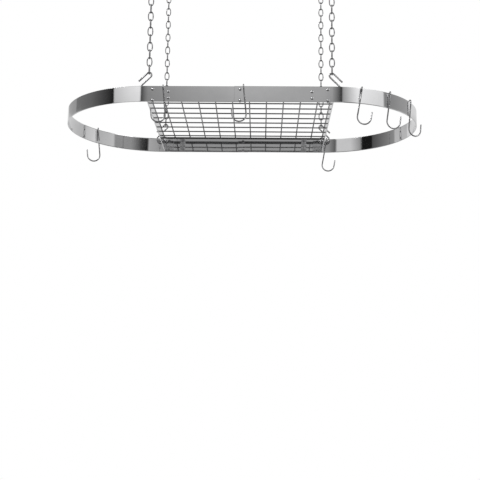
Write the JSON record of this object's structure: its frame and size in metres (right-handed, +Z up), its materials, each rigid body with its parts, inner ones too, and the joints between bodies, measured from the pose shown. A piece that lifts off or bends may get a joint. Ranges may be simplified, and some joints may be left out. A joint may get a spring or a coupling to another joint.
{
  "type": "hanging pot rack",
  "caption": "Hanging oval pot rack: a polished band with cross bars, a loose wire grid inside, wire hooks that slide along the band, and chains from ceiling screw hooks.",
  "frame": {"origin": "middle of the four ceiling screws, in the plane of the ceiling", "axes": "+Z up into the ceiling, +X along the long side of the oval, +Y from the front towards the rear"},
  "size_m": [0.838, 0.4415, 0.5671],
  "materials": {
    "band_steel": "polished to a mirror, faint rolling lines",
    "bar_steel": "polished",
    "grid_wire": "bright plated wire",
    "hook_wire": "bright plated wire",
    "chain_wire": "bright plated wire",
    "fastener_steel": "bright plated"
  },
  "bodies": {
    "ceiling_hooks": {"ceiling_hook_front_left": "hook_wire", "ceiling_hook_front_right": "hook_wire", "ceiling_hook_rear_left": "hook_wire", "ceiling_hook_rear_right": "hook_wire"},
    "top_link_front_left": {"top_link_front_left": "chain_wire"},
    "chain_front_left": {"chain_front_left": "chain_wire"},
    "bottom_link_front_left": {"bottom_link_front_left": "chain_wire"},
    "top_link_front_right": {"top_link_front_right": "chain_wire"},
    "chain_front_right": {"chain_front_right": "chain_wire"},
    "bottom_link_front_right": {"bottom_link_front_right": "chain_wire"},
    "top_link_rear_left": {"top_link_rear_left": "chain_wire"},
    "chain_rear_left": {"chain_rear_left": "chain_wire"},
    "bottom_link_rear_left": {"bottom_link_rear_left": "chain_wire"},
    "top_link_rear_right": {"top_link_rear_right": "chain_wire"},
    "chain_rear_right": {"chain_rear_right": "chain_wire"},
    "bottom_link_rear_right": {"bottom_link_rear_right": "chain_wire"},
    "rack": {"band_left": "band_steel", "band_right": "band_steel", "cross_bar_left": "bar_steel", "cross_bar_right": "bar_steel", "cross_bar_bolts": "fastener_steel", "cross_bar_nuts": "fastener_steel", "band_lap_bolts": "fastener_steel", "band_lap_nuts": "fastener_steel", "grid_clip_bolts": "fastener_steel", "grid_clip_nuts": "fastener_steel", "grid_clip_front_left": "bar_steel", "grid_clip_front_right": "bar_steel", "grid_clip_rear_left": "bar_steel", "grid_clip_rear_right": "bar_steel", "chain_hook_front_left": "hook_wire", "chain_hook_front_right": "hook_wire", "chain_hook_rear_left": "hook_wire", "chain_hook_rear_right": "hook_wire"},
    "grid": {"grid_rim": "grid_wire", "grid_long_wires": "grid_wire", "grid_cross_wires": "grid_wire"},
    "pot_hook_front_left": {"pot_hook_front_left": "hook_wire"},
    "pot_hook_front_middle": {"pot_hook_front_middle": "hook_wire"},
    "pot_hook_right_first": {"pot_hook_right_first": "hook_wire"},
    "pot_hook_right_second": {"pot_hook_right_second": "hook_wire"},
    "pot_hook_right_third": {"pot_hook_right_third": "hook_wire"},
    "pot_hook_rear_left": {"pot_hook_rear_left": "hook_wire"},
    "pot_hook_rear_right": {"pot_hook_rear_right": "hook_wire"}
  },
  "joints": [
    {"name": "sway_along", "type": "hinge", "parent": "ceiling_hooks", "child": "top_link_front_left", "pos_m": [-0.204, -0.203, -0.0354], "axis": [0, 1, 0], "range_deg": [-10, 10]},
    {"name": "sway_across", "type": "hinge", "parent": "top_link_front_left", "child": "chain_front_left", "pos_m": [-0.204, -0.203, -0.0534], "axis": [1, 0, 0], "range_deg": [-10, 10]},
    {"name": "level_across_front_left", "type": "hinge", "parent": "chain_front_left", "child": "bottom_link_front_left", "pos_m": [-0.204, -0.203, -0.3954], "axis": [1, 0, 0], "range_deg": [-10, 10]},
    {"name": "sway_along_front_right", "type": "hinge", "parent": "ceiling_hooks", "child": "top_link_front_right", "pos_m": [0.204, -0.203, -0.0354], "axis": [0, 1, 0], "range_deg": [-10, 10]},
    {"name": "sway_across_front_right", "type": "hinge", "parent": "top_link_front_right", "child": "chain_front_right", "pos_m": [0.204, -0.203, -0.0534], "axis": [1, 0, 0], "range_deg": [-10, 10]},
    {"name": "level_across_front_right", "type": "hinge", "parent": "chain_front_right", "child": "bottom_link_front_right", "pos_m": [0.204, -0.203, -0.3954], "axis": [1, 0, 0], "range_deg": [-10, 10]},
    {"name": "sway_along_rear_left", "type": "hinge", "parent": "ceiling_hooks", "child": "top_link_rear_left", "pos_m": [-0.204, 0.203, -0.0354], "axis": [0, 1, 0], "range_deg": [-10, 10]},
    {"name": "sway_across_rear_left", "type": "hinge", "parent": "top_link_rear_left", "child": "chain_rear_left", "pos_m": [-0.204, 0.203, -0.0534], "axis": [1, 0, 0], "range_deg": [-10, 10]},
    {"name": "level_across_rear_left", "type": "hinge", "parent": "chain_rear_left", "child": "bottom_link_rear_left", "pos_m": [-0.204, 0.203, -0.3954], "axis": [1, 0, 0], "range_deg": [-10, 10]},
    {"name": "sway_along_rear_right", "type": "hinge", "parent": "ceiling_hooks", "child": "top_link_rear_right", "pos_m": [0.204, 0.203, -0.0354], "axis": [0, 1, 0], "range_deg": [-10, 10]},
    {"name": "sway_across_rear_right", "type": "hinge", "parent": "top_link_rear_right", "child": "chain_rear_right", "pos_m": [0.204, 0.203, -0.0534], "axis": [1, 0, 0], "range_deg": [-10, 10]},
    {"name": "level_across_rear_right", "type": "hinge", "parent": "chain_rear_right", "child": "bottom_link_rear_right", "pos_m": [0.204, 0.203, -0.3954], "axis": [1, 0, 0], "range_deg": [-10, 10]},
    {"name": "level_along", "type": "hinge", "parent": "bottom_link_front_left", "child": "rack", "pos_m": [-0.204, -0.203, -0.4134], "axis": [0, 1, 0], "range_deg": [-10, 10]},
    {"name": "grid_lift", "type": "slide", "parent": "rack", "child": "grid", "axis": [0, 0, 1], "range_m": [0, 0.05]},
    {"name": "front_left_hook_slide", "type": "slide", "parent": "rack", "child": "pot_hook_front_left", "axis": [1, 0, 0], "range_m": [-0.016, 0.0015]},
    {"name": "front_middle_hook_slide", "type": "slide", "parent": "rack", "child": "pot_hook_front_middle", "axis": [1, 0, 0], "range_m": [-0.001, 0.14]},
    {"name": "right_first_hook_slide", "type": "hinge", "parent": "rack", "child": "pot_hook_right_first", "pos_m": [0.204, -0.001, -0.4459], "axis": [0, 0, 1], "range_deg": [-15, 3.5]},
    {"name": "right_second_hook_slide", "type": "hinge", "parent": "rack", "child": "pot_hook_right_second", "pos_m": [0.204, -0.001, -0.4459], "axis": [0, 0, 1], "range_deg": [-3.5, 3.5]},
    {"name": "right_third_hook_slide", "type": "hinge", "parent": "rack", "child": "pot_hook_right_third", "pos_m": [0.204, -0.001, -0.4459], "axis": [0, 0, 1], "range_deg": [-4, 40]},
    {"name": "rear_left_hook_slide", "type": "hinge", "parent": "rack", "child": "pot_hook_rear_left", "pos_m": [-0.204, 0.001, -0.4459], "axis": [0, 0, 1], "range_deg": [-40, 60]},
    {"name": "rear_right_hook_slide", "type": "hinge", "parent": "rack", "child": "pot_hook_rear_right", "pos_m": [0.204, -0.001, -0.4459], "axis": [0, 0, 1], "range_deg": [-55, 1]}
  ],
  "couplings": [
    {"joint": "level_across_front_left", "follows": "sway_across", "ratio": -1},
    {"joint": "sway_along_front_right", "follows": "sway_along", "ratio": 1},
    {"joint": "sway_across_front_right", "follows": "sway_across", "ratio": 1},
    {"joint": "level_across_front_right", "follows": "sway_across", "ratio": -1},
    {"joint": "sway_along_rear_left", "follows": "sway_along", "ratio": 1},
    {"joint": "sway_across_rear_left", "follows": "sway_across", "ratio": 1},
    {"joint": "level_across_rear_left", "follows": "sway_across", "ratio": -1},
    {"joint": "sway_along_rear_right", "follows": "sway_along", "ratio": 1},
    {"joint": "sway_across_rear_right", "follows": "sway_across", "ratio": 1},
    {"joint": "level_across_rear_right", "follows": "sway_across", "ratio": -1},
    {"joint": "level_along", "follows": "sway_along", "ratio": -1}
  ]
}
